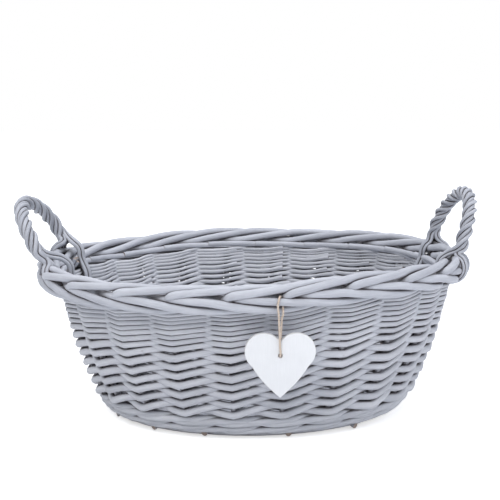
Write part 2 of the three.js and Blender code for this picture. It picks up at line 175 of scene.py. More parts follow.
def linearColour(text):
    # sRGB hex to linear, with full alpha
    parts = [int(text[i:i + 2], 16) / 255 for i in (0, 2, 4)]
    return tuple(p / 12.92 if p <= 0.04045 else ((p + 0.055) / 1.055) ** 2.4 for p in parts) + (1.0,)


def emptyMaterial(name):
    # a material with no nodes, and what adds a node to it
    material = bpy.data.materials.new(name)
    material.use_nodes = True
    material.node_tree.nodes.clear()
    return material, partial(addNode, material.node_tree)


# Willow with a thin matt coat of water-based paint: the bark's fine grain and small bumps show
# through, the coat is thinner in patches and misses a few spots of brown bark. In the gaps between
# the rods, where they hide each other from the light, the colour darkens to a brown painted shade.
willowSettings = {
    "patterns": {
        # scale across the rod and along it, per metre, then detail and roughness
        "grain": ((1100, 1100, 70), 5.0, 0.6),  # streaks 0.9 mm wide and 14 mm long
        "coat": ((190, 190, 50), 3.0, 0.55),  # patches 5 mm wide and 20 mm long
        "bare": ((330, 330, 110), 4.0, 0.7),  # spots 3 by 9 mm
    },
    "grainTone": 0.75, "coatTone": 0.55, "toneShift": -0.12,
    "bareRange": (0.66, 0.76),  # leaves about one spot in twenty bare
    # the painted shade in the gaps between the rods: how much of its colour at most, how far round a place it
    # looks, and its dark brown colour
    "bareShare": 0.55, "paintedShadeShare": 0.9, "paintedShadeReach": 0.007, "coatRelief": 0.6,
    "bareBark": "6f5f55", "paintedShadeColour": "493a36", "cutWood": "9b8d84",
}


def paintedWillow(name, light, dark, paintedShadeRange):
    w = willowSettings
    material, add = emptyMaterial(name)
    rod = {
        label: add("Attribute", {"attribute_name": label}).outputs
        for label in ("ringPlace", "rodRadius", "rodAlong", "rodTint", "rodCut")
    }
    # where on the rod a point is, so that the patterns follow its bends
    across = add(
        "VectorMath", "SCALE", links={0: rod["ringPlace"]["Vector"], "Scale": rod["rodRadius"]["Fac"]})
    along = add("CombineXYZ", links={"Z": rod["rodAlong"]["Fac"]})
    place = add("VectorMath", "ADD", links={0: across, 1: along})
    pattern = {}
    for label, (scale, detail, rough) in w["patterns"].items():
        scaled = add("VectorMath", "MULTIPLY", {1: scale}, {0: place})
        pattern[label] = add(
            "TexNoise", values={"Scale": 1.0, "Detail": detail, "Roughness": rough},
            links={"Vector": scaled})
    grainTone = add("Math", "MULTIPLY_ADD", {1: w["grainTone"], 2: w["toneShift"]}, {0: pattern["grain"]})
    coatTone = add("Math", "MULTIPLY_ADD", {1: w["coatTone"]}, {0: pattern["coat"], 2: grainTone})
    tone = add(
        "Math", {"operation": "ADD", "use_clamp": True}, links={0: coatTone, 1: rod["rodTint"]["Fac"]})
    bare = add(
        "MapRange",
        values={"From Min": w["bareRange"][0], "From Max": w["bareRange"][1], "To Max": w["bareShare"]},
        links={"Value": pattern["bare"]})
    # painted shade: where ambient occlusion finds other rods close by, the colour darkens towards dark brown
    shadeOcclusion = add("AmbientOcclusion", {"samples": 8}, {"Distance": w["paintedShadeReach"]})
    deep = add(
        "MapRange",
        values={"From Min": paintedShadeRange[0], "From Max": paintedShadeRange[1], "To Min": w["paintedShadeShare"], "To Max": 0.0},
        links={"Value": shadeOcclusion.outputs["AO"]})
    colour = add("Mix", {"data_type": "RGBA"}, {6: linearColour(dark), 7: linearColour(light)}, {0: tone})
    # over the paint go the bare spots, the painted shade in the gaps and the cut ends
    for label, share in (("bareBark", bare), ("paintedShadeColour", deep), ("cutWood", rod["rodCut"]["Fac"])):
        colour = add(
            "Mix", {"data_type": "RGBA"}, {7: linearColour(w[label])}, {0: share, 6: colour.outputs[2]})
    rough = add(
        "MapRange", values={"From Min": 0.3, "From Max": 0.7, "To Min": 0.52, "To Max": 0.72},
        links={"Value": pattern["grain"]})
    relief = add("Math", "MULTIPLY_ADD", {1: w["coatRelief"]}, {0: pattern["coat"], 2: pattern["grain"]})
    bump = add("Bump", values={"Strength": 0.35, "Distance": 0.0004}, links={"Height": relief})
    surface = add(
        "BsdfPrincipled", values={"IOR": 1.45, "Specular IOR Level": 0.4},
        links={"Base Color": colour.outputs[2], "Roughness": rough, "Normal": bump})
    add("OutputMaterial", links={"Surface": surface})
    return material


# Jute: two pale brown plies of dull fibre, with finer fibres that catch the light
def juteFibre(name):
    material, add = emptyMaterial(name)
    ring = add("Attribute", {"attribute_name": "ringPlace"})
    length = add("Attribute", {"attribute_name": "rodAlong"})
    across = add("VectorMath", "SCALE", {"Scale": 0.003}, {0: ring.outputs["Vector"]})
    along = add("CombineXYZ", links={"Z": length.outputs["Fac"]})
    place = add("VectorMath", "ADD", links={0: across, 1: along})
    # fibres 0.25 mm wide and 3 mm long, drawn coarser than the real 0.05 mm so that they show
    scaled = add("VectorMath", "MULTIPLY", {1: (1300, 1300, 320)}, {0: place})
    fibre = add(
        "TexNoise", values={"Scale": 1.0, "Detail": 4.0, "Roughness": 0.65}, links={"Vector": scaled})
    tone = add("MapRange", values={"From Min": 0.32, "From Max": 0.68}, links={"Value": fibre})
    colour = add(
        "Mix", {"data_type": "RGBA"}, {6: linearColour("b8a391"), 7: linearColour("f0e4d8")}, {0: tone})
    bump = add("Bump", values={"Strength": 0.5, "Distance": 0.0003}, links={"Height": fibre})
    surface = add(
        "BsdfPrincipled", values={"Roughness": 0.92, "Specular IOR Level": 0.2},
        links={"Base Color": colour.outputs[2], "Normal": bump})
    add("OutputMaterial", links={"Surface": surface})
    return material


# Sawn board with satin white emulsion: faint brush lines, a hair of grain and slightly worn edges
def whitePaintedWood(name):
    material, add = emptyMaterial(name)
    onBoard = add("TexCoord").outputs["Object"]
    # brush lines 0.7 mm apart, mostly along the board's height
    scaled = add("VectorMath", "MULTIPLY", {1: (1400, 1400, 90)}, {0: onBoard})
    brush = add(
        "TexNoise", values={"Scale": 1.0, "Detail": 4.0, "Roughness": 0.6}, links={"Vector": scaled})
    cloud = add("TexNoise", values={"Scale": 60.0, "Detail": 3.0}, links={"Vector": onBoard})
    mixed = add("Math", "MULTIPLY", links={0: brush, 1: cloud})
    tone = add("MapRange", values={"From Min": 0.12, "From Max": 0.4}, links={"Value": mixed})
    paint = add(
        "Mix", {"data_type": "RGBA"}, {6: linearColour("e3e5e9"), 7: linearColour("e9ebef")}, {0: tone})
    edge = add("Attribute", {"attribute_name": "edgeWear"})
    worn = add("Math", "MULTIPLY", links={0: edge.outputs["Fac"], 1: cloud})
    colour = add(
        "Mix", {"data_type": "RGBA"}, {7: linearColour("c9c2ba")}, {0: worn, 6: paint.outputs[2]})
    rough = add(
        "MapRange", values={"From Min": 0.3, "From Max": 0.7, "To Min": 0.42, "To Max": 0.58},
        links={"Value": brush})
    bump = add("Bump", values={"Strength": 0.12, "Distance": 0.0003}, links={"Height": brush})
    surface = add(
        "BsdfPrincipled", values={"IOR": 1.46},
        links={"Base Color": colour.outputs[2], "Roughness": rough, "Normal": bump})
    add("OutputMaterial", links={"Surface": surface})
    return material


# light and dark tone of each paint, and how open a place is where the painted gap shade starts and ends
stakePaint = paintedWillow("paintedWillowStakes", "cdd0d9", "9a9da7", (0.22, 0.68))
weavePaint = paintedWillow("paintedWillowWeaving", "d6d8df", "a2a5ae", (0.16, 0.62))
basePaint = paintedWillow("paintedWillowBase", "c3c6cf", "94979f", (0.16, 0.62))
handlePaint = paintedWillow("paintedWillowHandles", "c8cbd4", "8c909a", (0.38, 0.84))
jute = juteFibre("juteTwine")
whitePaint = whitePaintedWood("whitePaintedWood")
print("materials made")


# Rods: a tree that gives a round body to each path, with the rod's own places for the grain. Sizes
# in its inputs are in metres.
def makeRodTree():
    tree = bpy.data.node_groups.new("willowRods", "GeometryNodeTree")
    add = partial(addNode, tree)
    face = tree.interface
    face.new_socket("Geometry", in_out="INPUT", socket_type="NodeSocketGeometry")
    kinds = {
        "Sides": "Int", "Unevenness": "Float", "Lump Length": "Float", "Seed": "Float",
        "Finish": "Material",
    }
    inputs = {
        label: face.new_socket(label, in_out="INPUT", socket_type="NodeSocket" + kind).identifier
        for label, kind in kinds.items()
    }
    face.new_socket("Geometry", in_out="OUTPUT", socket_type="NodeSocketGeometry")
    given = add("NodeGroupInput").outputs
    curve = add("GeometryNodeMeshToCurve", links={"Mesh": given["Geometry"]})
    thickness = add("GeometryNodeInputNamedAttribute", {"data_type": "FLOAT"}, {"Name": "rodRadius"})
    circle = add(
        "GeometryNodeCurvePrimitiveCircle", values={"Radius": 1.0}, links={"Resolution": given["Sides"]})
    onRing = add("GeometryNodeInputPosition")
    marked = add(
        "GeometryNodeStoreNamedAttribute", {"data_type": "FLOAT_VECTOR", "domain": "POINT"},
        {"Name": "ringPlace"}, {"Geometry": circle, "Value": onRing})
    body = add(
        "GeometryNodeCurveToMesh", values={"Fill Caps": True},
        links={"Curve": curve, "Profile Curve": marked, "Scale": thickness.outputs["Attribute"]})
    # slow lumps move the skin in and out
    place = add("GeometryNodeInputPosition")
    perLump = add("Math", "DIVIDE", {0: 1.0}, {1: given["Lump Length"]})
    lumps = add(
        "TexNoise", {"noise_dimensions": "4D"}, {"Detail": 2.0},
        {"Vector": place, "W": given["Seed"], "Scale": perLump})
    centred = add("Math", "SUBTRACT", {1: 0.5}, {0: lumps})
    height = add("Math", "MULTIPLY", links={0: centred, 1: given["Unevenness"]})
    normal = add("GeometryNodeInputNormal")
    offset = add("VectorMath", "SCALE", links={0: normal, "Scale": height})
    uneven = add("GeometryNodeSetPosition", links={"Geometry": body, "Offset": offset})
    smooth = add("GeometryNodeSetShadeSmooth", links={"Geometry": uneven})
    real = add("GeometryNodeRealizeInstances", links={"Geometry": smooth})
    finish = add("GeometryNodeSetMaterial", links={"Geometry": real, "Material": given["Finish"]})
    add("NodeGroupOutput", links={"Geometry": finish})
    return tree, inputs


rodTree, rodInputs = makeRodTree()
cutSettings = {"depth": 0.12, "radiusShare": 0.97}  # the slice at a rod's end in the colour of cut wood
grainOffset = {"length": 731.0, "count": 97}  # keeps the rods from showing the same piece of grain


def plainCopy(source, name):
    graph = bpy.context.evaluated_depsgraph_get()
    mesh = bpy.data.meshes.new_from_object(source.evaluated_get(graph))
    mesh.name = name
    bpy.data.objects.remove(source)
    return addObject(name, mesh)


def cutOff(points, radius, cut):
    # a thin slice at the first end of a rod
    step = points[1] - points[0]
    back = points[0] + step * cutSettings["depth"] / np.linalg.norm(step)
    radius = np.insert(radius, 0, radius[0] * cutSettings["radiusShare"])
    return np.insert(points, 1, back, axis=0), radius, np.insert(cut, 0, 1.0)


def makeRod(points, radius, tint, closed=False, cutStart=False, cutEnd=False):
    points = np.asarray(points, dtype=float)
    radius = np.broadcast_to(np.asarray(radius, dtype=float), len(points))
    parts = points, radius, np.zeros(len(points))
    if cutEnd:
        parts = [part[::-1] for part in cutOff(*(part[::-1] for part in parts))]
    if cutStart:
        parts = cutOff(*parts)
    return {"points": parts[0], "radius": parts[1], "cut": parts[2], "tint": tint, "closed": closed}


def faceOutward(mesh, merge=False):
    shell = bmesh.new()
    shell.from_mesh(mesh)
    if merge:
        bmesh.ops.remove_doubles(shell, verts=shell.verts, dist=1e-6)
        bmesh.ops.triangulate(shell, faces=[f for f in shell.faces if len(f.verts) > 4])
    bmesh.ops.recalc_face_normals(shell, faces=shell.faces)
    shell.to_mesh(mesh)
    shell.free()


def buildRods(name, rods, finish, sides, unevenness, lumpLength, seed):
    edges, along = [], []
    start = 0
    for number, rod in enumerate(rods):
        count = len(rod["points"])
        along.append(lengthsAlong(rod["points"]) + grainOffset["length"] * (number % grainOffset["count"]))
        order = np.arange(start, start + count)
        edges.append(np.stack([order[:-1], order[1:]], axis=1))
        if rod["closed"]:
            edges.append([[start + count - 1, start]])
        start += count
    mesh = bpy.data.meshes.new(name + "Paths")
    points = np.concatenate([rod["points"] for rod in rods])
    mesh.from_pydata(points * millimetre, np.concatenate(edges).tolist(), [])
    storeFloats(mesh, "rodRadius", np.concatenate([rod["radius"] for rod in rods]) * millimetre)
    storeFloats(mesh, "rodTint", np.concatenate([np.full(len(rod["points"]), rod["tint"]) for rod in rods]))
    storeFloats(mesh, "rodAlong", np.concatenate(along) * millimetre)
    storeFloats(mesh, "rodCut", np.concatenate([rod["cut"] for rod in rods]))
    source = addObject(name + "Paths", mesh)
    modifier = source.modifiers.new("rods", "NODES")
    modifier.node_group = rodTree
    modifier[rodInputs["Sides"]] = sides
    modifier[rodInputs["Unevenness"]] = unevenness * millimetre
    modifier[rodInputs["Lump Length"]] = lumpLength * millimetre
    modifier[rodInputs["Seed"]] = seed
    modifier[rodInputs["Finish"]] = finish
    piece = plainCopy(source, name)
    faceOutward(piece.data)
    print(name, len(piece.data.polygons), "faces")
    return piece


def handIn(piece, body, slot, *nodes):
    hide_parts(*nodes)
    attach(piece, body)


def waver(chance, count=3):
    # a slow smooth wander along a rod, between about -1 and 1
    parts = [(chance.uniform(0.35, 1.9), chance.uniform(0, fullTurn)) for _ in range(count)]
    return lambda gaps: sum(np.sin(rate * gaps + shift) for rate, shift in parts) / count


def triangleWave(v):
    return 1 - 2 * np.abs(v)


# Twine of the tag: over one border rod, down both sides of the heart to its hole. Places are across,
# outward and up from the middle of the border rod that it hangs from.
twineSettings = {
    "pivot": (14.5517, -140.6105, 131.9003), "drop": 42.3, "spread": 2.0,
    "face": 3.2,  # from the heart's middle to the twine in front of it
    "loop": 4.0,  # radius of the loop over the rod
    "sag": 0.6, "rodSlope": 0.168, "knotReach": 4.5, "knotDiameter": 4.4, "knotInset": 0.42,
    "knotThickness": 0.95, "knotFlatness": 1.15, "knotGap": 0.3, "diameter": 1.5, "plyPitch": 4.2,
    "plyDepth": 0.27,
    "fluff": 1.25,  # loose fibres make the twine look thicker than it is
    "step": 0.35,
}


def twinePoint(across, outward, up):
    x, y, z = twineSettings["pivot"]
    return (x + across, y - outward, z + up)


def twineRoute():
    t = twineSettings
    bottom = -t["drop"] - t["sag"]
    points = [twinePoint(0, -2, bottom), twinePoint(0, 0, bottom)]
    for degrees in (-60, -30, 0):
        turn = math.radians(degrees)
        points.append(twinePoint(0, t["face"] * math.cos(turn), bottom + t["face"] * (1 + math.sin(turn))))
    for share in (0.8, 0.6, 0.4, 0.2):
        outward = t["loop"] + (t["face"] - t["loop"]) * share
        points.append(twinePoint(-t["spread"] * (1 - share), outward, -t["drop"] * share))
    for degrees in range(-6, 235, 24):
        turn = math.radians(degrees)
        across = t["spread"] * (degrees / 114 - 1)
        up = t["loop"] * math.sin(turn) + across * t["rodSlope"]
        points.append(twinePoint(across, t["loop"] * math.cos(turn), up))
    # in behind the rod, between it and the weave, and down the heart's back
    points += [twinePoint(t["spread"], *place) for place in ((-0.4, -4.7), (0.9, -6.8), (0.9, -10))]
    for share, faceShare in ((0.3, 0.4), (0.42, 1), (0.6, 1.05), (0.8, 1.1)):
        points.append(twinePoint(t["spread"] * (1 - share), -t["face"] * faceShare, -t["drop"] * share))
    points.append(twinePoint(0, -t["knotReach"], -t["drop"] + t["knotDiameter"]))
    points.append(twinePoint(0, -t["knotReach"], -t["drop"] + t["knotDiameter"] / 2 + t["knotGap"]))
    return points


def sweptFrames(path):
    # directions across a path, carried along it without twist
    tangents = unitRows(np.gradient(path, axis=0))
    side = np.cross(tangents[0], (0.3, 0.2, 1.0))
    sides = []
    for tangent in tangents:
        side = side - tangent * np.dot(side, tangent)
        side /= np.linalg.norm(side)
        sides.append(side)
    sides = np.array(sides)
    return sides, np.cross(tangents, sides)


def pliedTube(name, path, diameter, sides=14):
    # tube with the outline of two plies that turn round each other, narrower at both ends
    across, up = sweptFrames(path)
    steps = lengthsAlong(path)
    turn = np.linspace(0, fullTurn, sides, endpoint=False)
    lobes = 1 - twineSettings["plyDepth"] * np.abs(np.sin(turn)) ** 1.5
    rings = []
    for k, centre in enumerate(path):
        angle = turn + fullTurn * steps[k] / twineSettings["plyPitch"]
        reach = lobes * diameter / 2
        taper = min(1.0, 0.55 + min(k, len(path) - 1 - k) * 0.2)
        around = np.cos(angle)[:, None] * across[k] + np.sin(angle)[:, None] * up[k]
        rings.append(centre + taper * reach[:, None] * around)
    faces = []
    for k in range(len(path) - 1):
        for j in range(sides):
            a, b = k * sides + j, k * sides + (j + 1) % sides
            faces.append((a, b, b + sides, a + sides))
    faces.append(tuple(reversed(range(sides))))
    faces.append(tuple(range((len(path) - 1) * sides, len(path) * sides)))
    mesh = bpy.data.meshes.new(name)
    mesh.from_pydata(np.concatenate(rings) * millimetre, [], faces)
    storeFloats(mesh, "rodAlong", np.repeat(steps * millimetre, sides))
    ring = np.stack([np.cos(turn), np.sin(turn), np.zeros(sides)], axis=1)
    places = np.tile(ring, (len(path), 1)).astype(np.float32)
    mesh.attributes.new("ringPlace", "FLOAT_VECTOR", "POINT").data.foreach_set("vector", places.ravel())
    mesh.shade_smooth()
    mesh.materials.append(jute)
    faceOutward(mesh)
    return addObject(name, mesh)


def makeTwine():
    t = twineSettings
    path = smoothPath(twineRoute(), t["step"])
    twine = pliedTube("tagTwine", path, t["diameter"] * t["fluff"])
    handIn(twine, "twine", "jute_twine", "tag_twine")
    # overhand knot: a trefoil drawn tight
    centre = np.array(twinePoint(0, -t["knotReach"], -t["drop"]))
    turn = np.linspace(0, fullTurn, 90)
    flat = -t["knotFlatness"] * np.sin(3 * turn)
    trefoil = [np.sin(turn) + 2 * np.sin(2 * turn), flat, np.cos(turn) - 2 * np.cos(2 * turn)]
    size = t["knotDiameter"] / 2 - t["diameter"] * t["knotInset"]
    knotPath = centre + np.stack(trefoil, axis=1) * size / 3
    knot = pliedTube("tagKnot", knotPath, t["diameter"] * t["knotThickness"], 10)
    handIn(knot, "twine", "jute_twine", "twine_knot")
    length = float(np.linalg.norm(np.diff(path, axis=0), axis=1).sum())
    print("twine", round(length, 1), "mm long")
    return twine, knot, path, length


twine, knot, twinePath, twineLength = makeTwine()


# heart: a thin board with rounded edges and a hole under the notch
heartSettings = {
    "width": 55.0, "height": 52.0, "thickness": 4.0, "lobeRadius": 14.8, "holeRadius": 1.7,
    "holeFromTop": 18.0, "edgeRadius": 0.7,
    "belly": 1.9,  # the sides curve out a little between the tip and the lobes
    "arcSteps": 40, "sideSteps": 11, "holeSteps": 28, "wear": 0.55,
}


def heartOutline():
    h = heartSettings
    radius, lobeX = h["lobeRadius"], h["width"] / 2 - h["lobeRadius"]
    tipDrop = h["height"] - radius
    tangent = math.atan2(-tipDrop, -lobeX) + math.acos(radius / math.hypot(lobeX, tipDrop))
    notch = math.pi - math.acos(lobeX / radius)
    arc = np.linspace(tangent, notch, h["arcSteps"])
    right = np.stack([lobeX + radius * np.cos(arc), radius * np.sin(arc)], axis=1)
    side = np.linspace((0, -tipDrop), right[0], h["sideSteps"] + 1)[:-1]
    side[:, 0] += h["belly"] * np.sin(math.pi * np.linspace(0, 1, h["sideSteps"]))
    half = np.concatenate([side, right])
    return np.concatenate([half, half[::-1][1:-1] * (-1, 1)])


def heartBoard():
    # the flat outline, made a board around its hole
    h = heartSettings
    holeY = h["lobeRadius"] - h["holeFromTop"]
    curve = bpy.data.curves.new("heartOutline", "CURVE")
    curve.dimensions = "2D"
    curve.fill_mode = "BOTH"
    curve.extrude = (h["thickness"] / 2 - h["edgeRadius"]) * millimetre
    curve.bevel_depth = h["edgeRadius"] * millimetre
    curve.offset = -h["edgeRadius"] * millimetre
    curve.bevel_resolution = 3
    turn = np.linspace(0, -fullTurn, h["holeSteps"], endpoint=False)
    hole = np.stack([h["holeRadius"] * np.cos(turn), holeY + h["holeRadius"] * np.sin(turn)], axis=1)
    for line in (heartOutline(), hole):
        spline = curve.splines.new("POLY")
        spline.points.add(len(line) - 1)
        flat = np.column_stack([(line - (0, holeY)) * millimetre, np.zeros(len(line)), np.ones(len(line))])
        spline.points.foreach_set("co", flat.ravel())
        spline.use_cyclic_u = True
    heart = plainCopy(addObject("heartOutline", curve), "tagHeart")
    faceOutward(heart.data, merge=True)
    return heart


def makeHeart():
    h = heartSettings
    heart = heartBoard()
    mesh = heart.data
    co = np.zeros(len(mesh.vertices) * 3)
    mesh.vertices.foreach_get("co", co)
    x, y, z = co.reshape(-1, 3).T
    inset = (h["thickness"] / 2 - h["edgeRadius"] * 0.25) * millimetre
    storeFloats(mesh, "edgeWear", (np.abs(z) < inset) * h["wear"])
    # it stands up and hangs by its hole
    pivot = np.array(twineSettings["pivot"]) * millimetre
    drop = twineSettings["drop"] * millimetre
    placed = np.stack([x + pivot[0], pivot[1] - z, pivot[2] - drop + y], axis=1)
    mesh.vertices.foreach_set("co", placed.ravel())
    mesh.materials.clear()
    mesh.materials.append(whitePaint)
    mesh.shade_smooth()
    mesh.set_sharp_from_angle(angle=math.radians(40))
    handIn(heart, "tag", "white_painted_wood", "heart_tag")
    return heart


heart = makeHeart()
print("tag made")


# Stakes: foot in the base, knee, rise through the side, and the top plaited into the border. The
# border's stations are gaps on from the stake, then outward and upward from the border's middle.
stakeSettings = {
    "foot": [(-21.0, 5.0), (-5.0, 5.06), (6.1, 9.9)],  # reach past the foot's oval, and height
    "sideHeights": [22.0, 45.0, 69.0, 93.0, 113.0],
    "border": [
        (-0.05, -8.0, -12.5), (0.0, 0.5, -4.0), (0.1, 6.4, 2.0), (0.45, 6.1, 5.3), (0.88, 3.9, 7.8),
        (1.3, 0.4, 8.7), (1.8, -4.2, 6.0), (2.3, -6.8, 1.7), (2.65, -5.8, -1.7), (2.95, -0.5, -2.2),
        (3.2, 3.9, -1.0), (3.5, 6.4, -1.6), (3.77, 7.1, -2.93), (4.0, 7.5, -5.0), (4.3, 7.2, -8.2),
        (4.6, 5.2, -10.9), (5.0, 1.3, -12.4), (5.4, -4.5, -12.0), (5.75, -8.8, -9.4),
        (6.2, -10.2, -6.4), (6.8, -10.4, -5.4), (7.3, -10.8, -4.9),
    ],
    # where the front rods start, in gaps from where they would by rule
    "startShifts": {
        12: 0.2, 13: 0.2, 14: 0.24, 15: 0.12, 16: 0.0, 17: -0.14, 18: -0.15, 19: -0.12, 20: -0.1,
    },
    "startSpread": (-0.12, 0.12), "stretch": (-0.05, 0.05), "loose": 0.35, "tight": 0.1,
    "wallRadius": 2.7, "borderRadius": 3.3, "radiusSpread": (0.94, 1.04),
    "growFrom": 118,  # height at which a stake starts to thicken, and over what length it does
    "growLength": 22, "pointShare": 0.42, "pointLength": 44, "tipStart": 0.3, "tipShare": 0.84,
    "tint": (-0.13, 0.13), "step": 3.6,
    "body": {"sides": 10, "unevenness": 0.5, "lumpLength": 16.0, "seed": 3.0},
}


def stakePath(number, chance):
    s = stakeSettings
    angle = number * gapAngle
    points = [ovalPoint(grown(basketForm["footOval"], reach), angle, z) for reach, z in s["foot"]]
    points += [ovalPoint(sideOval(z), angle, z) for z in s["sideHeights"]]
    stretch = chance.uniform(*s["stretch"])
    start = s["startShifts"].get(number, chance.uniform(*s["startSpread"]))
    for gaps, outward, upward in s["border"]:
        # a rod lies tight where it turns round the others, and loose elsewhere
        loose = s["loose"] if 0.4 < gaps < 3.5 or gaps > 4.2 else s["tight"]
        shift = start * min(1.0, max(0.0, (3.2 - gaps) / 2)) + stretch * (gaps > 4.2)
        points.append(borderPoint(
            angle + (gaps + shift) * gapAngle,
            outward + chance.uniform(-loose, loose), upward + chance.uniform(-loose, loose)))
    path = smoothPath(points, s["step"])
    past = np.maximum.accumulate(path[:, 2] > s["growFrom"])
    grow = np.clip(np.cumsum(past) * s["step"] / s["growLength"], 0, 1)
    thick = s["borderRadius"] * chance.uniform(*s["radiusSpread"])
    radius = s["wallRadius"] + (thick - s["wallRadius"]) * grow
    # the foot is cut to a point where it is pushed into the base, and the top tapers
    radius *= np.clip(s["pointShare"] + np.arange(len(path)) * s["step"] / s["pointLength"], 0, 1)
    left = np.linspace(1.0, 0.0, len(path))
    thin = s["tipShare"] + (1 - s["tipShare"]) * left / s["tipStart"]
    return path, radius * np.where(left < s["tipStart"], thin, 1.0)


def makeStakes():
    s = stakeSettings
    chance = np.random.default_rng(22)
    numbers = range(basketForm["stakeCount"])
    rods = [
        makeRod(*stakePath(number, chance), chance.uniform(*s["tint"]), cutEnd=True) for number in numbers
    ]
    piece = buildRods("stakesAndBorder", rods, stakePaint, **s["body"])
    handIn(piece, "basket", "stake_willow", *[f"stake_{number + 1:02d}" for number in numbers])


makeStakes()
print("stakes and border made")


# Siding: rows of weaving in pairs. Each weaver passes in front of one stake and behind the next. It
# comes out low beside a stake, dips at the stake, and goes back in high on its other side. A share
# is of the distance to the next row, or of the rod's radius, and lengths along a row are in gaps.
sidingSettings = {
    "rows": [
        25.3, 34.9, 43.9, 52.7, 61.5, 70.3, 78.6, 86.7, 92.5, 97.8, 102.4, 106.9, 111.0, 114.6, 117.9,
        121.0, 123.8,
    ],
    "bandSplit": 69.0, "radiusShare": 0.262, "radiusBase": 1.0, "radiusSpread": (0.92, 1.08),
    "taper": (1.07, 0.9), "tint": (-0.14, 0.14), "kinkShare": 0.46, "crossShare": 0.22,
    "crossReach": 1.5, "innerSway": 0.11, "stakeRadius": 2.6, "pressShare": 0.86,
    "pinchHeight": 84.0, "pinchShare": 0.3, "pinchLength": 0.13, "waverHeight": 0.46,
    "waverPitch": 6, "waverReach": 0.25,
    # the rows follow the rim's rise and fall, more the higher they are
    "rimFrom": 35, "rimHeight": 85, "rimMost": 1.05, "rimPower": 1.4,
    "ovalRise": 6,  # from this far above the weave's top, the rows go straight up
    "rodPairs": (3, 6),  # a rod spans this many pairs of gaps, the last number left out
    "lastRod": 12, "overlap": (0.22, 0.26), "joinLength": 0.5, "joinLift": 0.55, "step": 3.4,
    "gapLength": 42,
    "lowBody": {"sides": 8, "unevenness": 0.4, "lumpLength": 12.0, "seed": 5.0},
    "highBody": {"sides": 8, "unevenness": 0.35, "lumpLength": 12.0, "seed": 6.0},
}


def weaverPath(gaps, row, weaver, pitch, radius, wander):
    s = sidingSettings
    # v is 0 at the stake that the weaver passes in front of, and 1 or -1 at those it passes behind
    v = (gaps - weaver + 1) % 2 - 1
    inOut = 0.55 * np.cos(np.pi * v) + 0.45 * triangleWave(v)
    kink = np.clip(1 - np.abs(v) / 0.5, 0, 1)
    sway = s["innerSway"] * np.sin(2 * np.pi * v) * (np.abs(v) > 0.5)
    z = row + pitch * (s["kinkShare"] + s["crossShare"] * np.sin(np.pi * v) - s["kinkShare"] * kink - sway)
    z = z + wander[0](gaps) * s["waverHeight"] * pitch / s["waverPitch"]
    angle = gaps * gapAngle
    follow = np.clip((z - s["rimFrom"]) / s["rimHeight"], 0, s["rimMost"]) ** s["rimPower"]
    z = z + rimRise(angle) * follow
    reach = (s["stakeRadius"] + radius * s["pressShare"]) * inOut + s["crossReach"] * np.sin(np.pi * v)
    reach = reach + wander[1](gaps) * s["waverReach"]
    return ovalPoint(grown(sideOval(np.minimum(z, basketForm["weaveTop"] + s["ovalRise"])), reach), angle, z)


def splitRound(chance, start):
    # where the rods of one turn of a weaver meet, each an even number of gaps from the last
    s = sidingSettings
    ends, last = [start], start + basketForm["stakeCount"]
    while last - ends[-1] > s["lastRod"]:
        ends.append(ends[-1] + int(chance.integers(*s["rodPairs"])) * 2)
    return ends + [last]


def weaverRods(row, weaver, pitch, chance):
    # one turn of one weaver
    s = sidingSettings
    wander = (waver(chance), waver(chance))
    ends = splitRound(chance, weaver + 1 + 2 * int(chance.integers(0, basketForm["stakeCount"] // 2)))
    rods = []
    for begin, finish in zip(ends[:-1], ends[1:]):
        gaps = np.arange(begin - s["overlap"][0], finish + s["overlap"][1], s["step"] / s["gapLength"])
        radius = (s["radiusBase"] + s["radiusShare"] * pitch) * chance.uniform(*s["radiusSpread"])
        path = weaverPath(gaps, row, weaver, pitch, radius, wander)
        # where two rods meet behind a stake, the new butt lies over the old tip
        fromStart = np.clip(1 - (gaps - gaps[0]) / s["joinLength"], 0, 1)
        fromEnd = np.clip(1 - (gaps[-1] - gaps) / s["joinLength"], 0, 1)
        path[:, 2] += (fromStart - fromEnd) * radius * s["joinLift"]
        thick = radius * np.linspace(*s["taper"], len(gaps))
        # the thin upper rows are pressed flat inside the stakes, which show between them
        if row > s["pinchHeight"]:
            inside = (gaps - weaver + 1) % 2 - 1
            thick *= 1 - s["pinchShare"] * np.exp(-((np.abs(inside) - 1) / s["pinchLength"]) ** 2)
        rods.append(makeRod(path, thick, chance.uniform(*s["tint"]), cutStart=True, cutEnd=True))
    return rods


def makeSiding():
    s = sidingSettings
    chance = np.random.default_rng(14)
    pitches = np.diff(s["rows"])
    low, high = [], []
    for row, pitch in zip(s["rows"], [*pitches, pitches[-1]]):
        for weaver in (0, 1):
            (low if row < s["bandSplit"] else high).extend(weaverRods(row, weaver, pitch, chance))
    lowRows = buildRods("sidingLowRows", low, weavePaint, **s["lowBody"])
    handIn(lowRows, "basket", "weave_willow", "siding_band_1")
    highRows = buildRods("sidingHighRows", high, weavePaint, **s["highBody"])
    handIn(highRows, "basket", "weave_willow", "siding_band_2")


makeSiding()
print("siding made")


